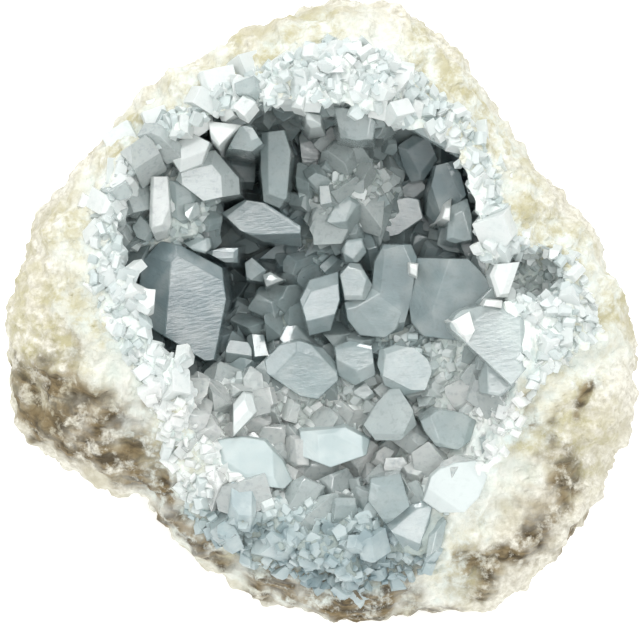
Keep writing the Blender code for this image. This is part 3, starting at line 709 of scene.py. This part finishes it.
draw = random.Random(5)
forms = [sawn_form(form, draw, 0.09, 0.02) for form in ["block", "chisel", "point", "wedge", "chisel", "plate"] * 3]
points = surface_points(24000, 3.9, draw, in_hollow)
lining = plant_over(points, forms, (4.5, 9.0), (1.3, 2.0), (0.35, 0.6), 0.55, draw, lining_tone_with_painted_shade)
print("lining crystals:", len(lining))
lining_crystals = join(lining, "lining_crystals")

# %% [markdown]
# ## The band and the druse
# On the rim and the slope the crystals are blunt and sunk almost to their tips. Over them, and over the bed
# between the large ones, lies druse: a sugar of crystals one to three millimetres long. It is what makes the
# surface glitter, and it has no bevels, because nothing that small shows its edges.

# %% Plant the band crystals and the druse


def on_band(place):
    return place.z > 5 and band_at(place) > 0.75 and not in_alcove(place)


def band_at(place):
    """How far a place belongs to the band, from the solids' surfaces."""
    return ramp(rock_surface.find_nearest(place)[3] - bed_surface.find_nearest(place)[3], -1.6, 1.6)


# Pale band crystals with a random spread; their darkening on the lower lip is painted shade.
def band_tone_with_painted_shade(place, draw):
    return 0.88 - 0.65 * ramp(place.y, -36, -52) + draw.uniform(-0.1, 0.08)


def on_celestite(place):
    return band_at(place) > 0.3


points = surface_points(8000, 8.0, draw, on_band)
band = plant_over(points, forms, (6.0, 9.5), (0.9, 1.3), (-0.04, 0.08), 0.35, draw, band_tone_with_painted_shade)
points = surface_points(24000, 3.0, draw, on_band)
band += plant_over(points, forms, (2.6, 5.8), (1.1, 1.6), (0.06, 0.3), 0.45, draw, band_tone_with_painted_shade)
print("band crystals:", len(band))
band_crystals = join(band, "band_crystals")
discard(forms)

plain_forms = [sawn_form(form, draw, 0.12, 0) for form in ["block", "chisel", "point", "wedge"] * 2]
points = surface_points(60000, 1.7, draw, on_celestite)
# The druse takes the lining's tone, a little paler, and darker on the lower lip as painted shade.
sugar = plant_over(points, plain_forms, (1.3, 3.2), (1.1, 1.8), (0.3, 0.6), 0.6, draw,
                   lambda place, draw: lining_tone_with_painted_shade(place, draw) + 0.12 - 0.3 * ramp(place.y, -40, -56))
print("druse crystals:", len(sugar))
druse = join(sugar, "druse")
discard(plain_forms)

# %% [markdown]
# ## Keep to the solids' size
# The noise and the crystals may reach a fraction of a millimetre past the solids' box. Those points are pressed
# back to it, which also keeps the flat spot that the geode rests on level.

# %% Press back to the box


def press_into_box(piece):
    moved = 0
    for vertex in piece.data.vertices:
        held = Vector(min(max(vertex.co[i], cad_box[0][i]), cad_box[1][i]) for i in range(3))
        moved += held != vertex.co
        vertex.co = held
    print(piece.name, "points pressed back:", moved, "of", len(piece.data.vertices))


CRYSTAL_PIECES = [large_clear, large_milky, lining_crystals, band_crystals, druse]
for piece in [rough_rind, massive_band, *CRYSTAL_PIECES]:
    press_into_box(piece)

# %% [markdown]
# ## Materials
# A small helper keeps the node trees readable: it adds a node, sets its values, and links any input that is
# given a socket.

# %% Node helpers


def new_material(name):
    material = bpy.data.materials.new(name)
    material.use_nodes = True
    return material, material.node_tree, material.node_tree.nodes["Principled BSDF"]


def add_node(tree, kind, inputs=None, **settings):
    node = tree.nodes.new("ShaderNode" + kind)
    for key, value in settings.items():
        setattr(node, key, value)
    for key, value in (inputs or {}).items():
        if isinstance(value, bpy.types.NodeSocket):
            tree.links.new(value, node.inputs[key])
        else:
            node.inputs[key].default_value = value
    return node


def blend_colour(tree, factor, first, second):
    """The socket of a colour between two others."""
    node = add_node(tree, "Mix", data_type="RGBA")
    for socket, value in ((node.inputs[0], factor), (node.inputs[6], first), (node.inputs[7], second)):
        if isinstance(value, bpy.types.NodeSocket):
            tree.links.new(value, socket)
        else:
            socket.default_value = value
    return node.outputs[2]


def stretch(tree, value, low, high):
    """A value stretched so that low becomes 0 and high becomes 1."""
    return add_node(tree, "MapRange", {"Value": value, "From Min": low, "From Max": high}).outputs["Result"]


def speckle(tree, place, size, detail=5.0, roughness=0.6):
    """Noise with features of this size in mm."""
    settings = {"Vector": place, "Scale": 1.0 / (size * MM), "Detail": detail, "Roughness": roughness}
    return add_node(tree, "TexNoise", settings).outputs["Fac"]


def product(tree, first, second):
    return add_node(tree, "Math", {0: first, 1: second}, operation="MULTIPLY").outputs[0]


def attribute(tree, name):
    return add_node(tree, "Attribute", attribute_name=name).outputs["Fac"]


def srgb(red, green, blue):
    """A colour as seen on a screen, from 0 to 255, as the linear values that a shader takes."""
    linear = [(c / 255 / 12.92) if c <= 10 else ((c / 255 + 0.055) / 1.055) ** 2.4 for c in (red, green, blue)]
    return (*linear, 1.0)


# %% [markdown]
# The rock's colour is built up as dirt is: cream first, darker in the pits, then olive and brown where the stain
# attributes allow and noise breaks them up. Where the band attribute rises it turns to white celestite, and at the
# back of the hollow and on the lower lip painted shade greys it to grey-green.

# %% Rock and bed material
rock, tree, shader = new_material("rock and massive celestite")
place = add_node(tree, "TexCoord").outputs["Object"]
grain = speckle(tree, place, 1.6, 5.0, 0.65)
blotch = speckle(tree, place, 13.0, 6.0, 0.6)
fine_blotch = speckle(tree, place, 4.5, 6.0, 0.7)
cream = blend_colour(tree, stretch(tree, grain, 0.34, 0.6), srgb(184, 180, 165), srgb(222, 220, 208))
cream = blend_colour(tree, stretch(tree, blotch, 0.46, 0.68), cream, srgb(182, 177, 155))
white = blend_colour(tree, stretch(tree, fine_blotch, 0.35, 0.65), srgb(204, 216, 212), srgb(236, 239, 234))
# Painted shade: the white band greys to grey-green at the back of the hollow and a little on the lower lip.
white = blend_colour(tree, attribute(tree, "painted_hollow_shade"), white, srgb(150, 162, 158))
colour = blend_colour(tree, attribute(tree, "pale"), cream, white)
olive_share = product(tree, attribute(tree, "olive"), stretch(tree, fine_blotch, 0.42, 0.6))
colour = blend_colour(tree, olive_share, colour, srgb(176, 171, 138))
brown_share = product(tree, attribute(tree, "brown"), stretch(tree, fine_blotch, 0.35, 0.5))
layers = speckle(tree, add_node(tree, "Mapping", {"Vector": place, "Scale": (1, 1, 5)}).outputs[0], 7.0)
dirt = blend_colour(tree, stretch(tree, layers, 0.4, 0.6), srgb(66, 56, 37), srgb(122, 107, 77))
colour = blend_colour(tree, brown_share, colour, dirt)
tree.links.new(colour, shader.inputs["Base Color"])
rough = add_node(tree, "MapRange", {"Value": attribute(tree, "band"), "To Min": 0.9, "To Max": 0.45})
tree.links.new(rough.outputs["Result"], shader.inputs["Roughness"])
bump = add_node(tree, "Bump", {"Height": grain, "Strength": 0.6, "Distance": 0.7 * MM})
tree.links.new(bump.outputs["Normal"], shader.inputs["Normal"])
for piece in (rough_rind, massive_band):
    piece.data.materials.clear()
    piece.data.materials.append(rock)

# %% [markdown]
# Celestite is a clear mineral that only looks blue where light travels far in it, or milky where it is full of
# fine flaws. Both kinds use the same tree: a body colour from each crystal's tone, faint growth lines, plain
# transmission with the index of refraction of celestite, and absorption for the depth.

# %% Celestite materials


def celestite(name, see_through, roughness, density, flawed):
    material, tree, shader = new_material(name)
    place = add_node(tree, "TexCoord").outputs["Object"]
    cloud = speckle(tree, place, 6.0, 5.0, 0.65)
    tone = attribute(tree, "tone")
    dark = blend_colour(tree, stretch(tree, tone, 0.0, 0.5), srgb(140, 162, 168), srgb(196, 212, 212))
    colour = blend_colour(tree, stretch(tree, tone, 0.5, 1.0), dark, srgb(248, 250, 247))
    milk = product(tree, stretch(tree, cloud, 0.42, 0.68), 0.65)
    colour = blend_colour(tree, milk, colour, srgb(224, 234, 232))
    flaws = product(tree, stretch(tree, speckle(tree, place, 1.5, 3.0, 0.7), 0.5, 0.75), flawed)
    colour = blend_colour(tree, flaws, colour, srgb(104, 126, 130))
    tree.links.new(colour, shader.inputs["Base Color"])
    shader.inputs["Roughness"].default_value = roughness
    shader.inputs["Transmission Weight"].default_value = see_through
    shader.inputs["IOR"].default_value = 1.62
    lines = speckle(tree, add_node(tree, "Mapping", {"Vector": place, "Scale": (1, 1, 5)}).outputs[0], 2.5, 3.0)
    bump = add_node(tree, "Bump", {"Height": lines, "Strength": 0.3, "Distance": 0.3 * MM})
    tree.links.new(bump.outputs["Normal"], shader.inputs["Normal"])
    absorb = add_node(tree, "VolumeAbsorption", {"Color": srgb(165, 203, 214), "Density": density})
    tree.links.new(absorb.outputs["Volume"], tree.nodes["Material Output"].inputs["Volume"])
    return material


clear_celestite = celestite("clear celestite", 0.55, 0.12, 12.0, 0.35)
milky_celestite = celestite("milky celestite", 0.3, 0.4, 8.0, 0.12)
for piece in CRYSTAL_PIECES:
    piece.data.materials.clear()
    piece.data.materials.append(milky_celestite if piece in (large_milky, band_crystals, druse) else clear_celestite)

# %% Give every piece its place in the model
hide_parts("rind")
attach(rough_rind, "root")
for piece in [massive_band, *CRYSTAL_PIECES]:
    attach(piece, "root")
    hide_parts("crystal_crust")

# %% [markdown]
# ## Camera, floor and light

# %% Camera
FRAME_WIDTH = 153.8 * MM
DISTANCE = 0.75
SENSOR = 36.0
back = FACE.to_3x3() @ Vector((0, 0, 1 / MM))
camera = bpy.data.objects.new("camera", bpy.data.cameras.new("camera"))
bpy.context.scene.collection.objects.link(camera)
camera.location = FACE @ Vector((0, -1, 0)) + back * DISTANCE
camera.rotation_euler = back.to_track_quat("Z", "Y").to_euler()
camera.data.sensor_width = SENSOR
camera.data.lens = SENSOR * DISTANCE / FRAME_WIDTH
bpy.context.scene.camera = camera

# %% Floor and lights
clear_selection()
bpy.ops.mesh.primitive_plane_add(size=6.0, location=(0, 0, -0.0002))
floor = bpy.context.object
floor.name = "floor"
paper, tree, shader = new_material("light table")
shader.inputs["Base Color"].default_value = (0.9, 0.9, 0.9, 1)
shader.inputs["Roughness"].default_value = 0.9
shader.inputs["Emission Color"].default_value = (1, 1, 1, 1)
shader.inputs["Emission Strength"].default_value = 0.35
floor.data.materials.append(paper)


def soft_light(name, direction, distance, size, power):
    """A square soft box that looks at the geode, from a direction square to its broken face."""
    lamp = bpy.data.objects.new(name, bpy.data.lights.new(name, "AREA"))
    bpy.context.scene.collection.objects.link(lamp)
    lamp.data.size = size
    lamp.data.energy = power
    way = (FACE.to_3x3() @ Vector(direction)).normalized()
    lamp.location = FACE @ Vector((0, 0, 0)) + way * distance
    lamp.rotation_euler = way.to_track_quat("Z", "Y").to_euler()


soft_light("key from above", (0.14, 0.82, 0.55), 0.9, 0.25, 2.5)
soft_light("key from the upper left", (-0.55, 0.45, 0.7), 0.9, 0.5, 2.5)
soft_light("fill from the front", (0.25, 0.0, 1.0), 1.1, 0.5, 4)
world = bpy.context.scene.world or bpy.data.worlds.new("world")
bpy.context.scene.world = world
world.use_nodes = True
world.node_tree.nodes["Background"].inputs["Color"].default_value = (1, 1, 1, 1)
world.node_tree.nodes["Background"].inputs["Strength"].default_value = 0.9
bpy.context.scene.view_settings.view_transform = "Standard"
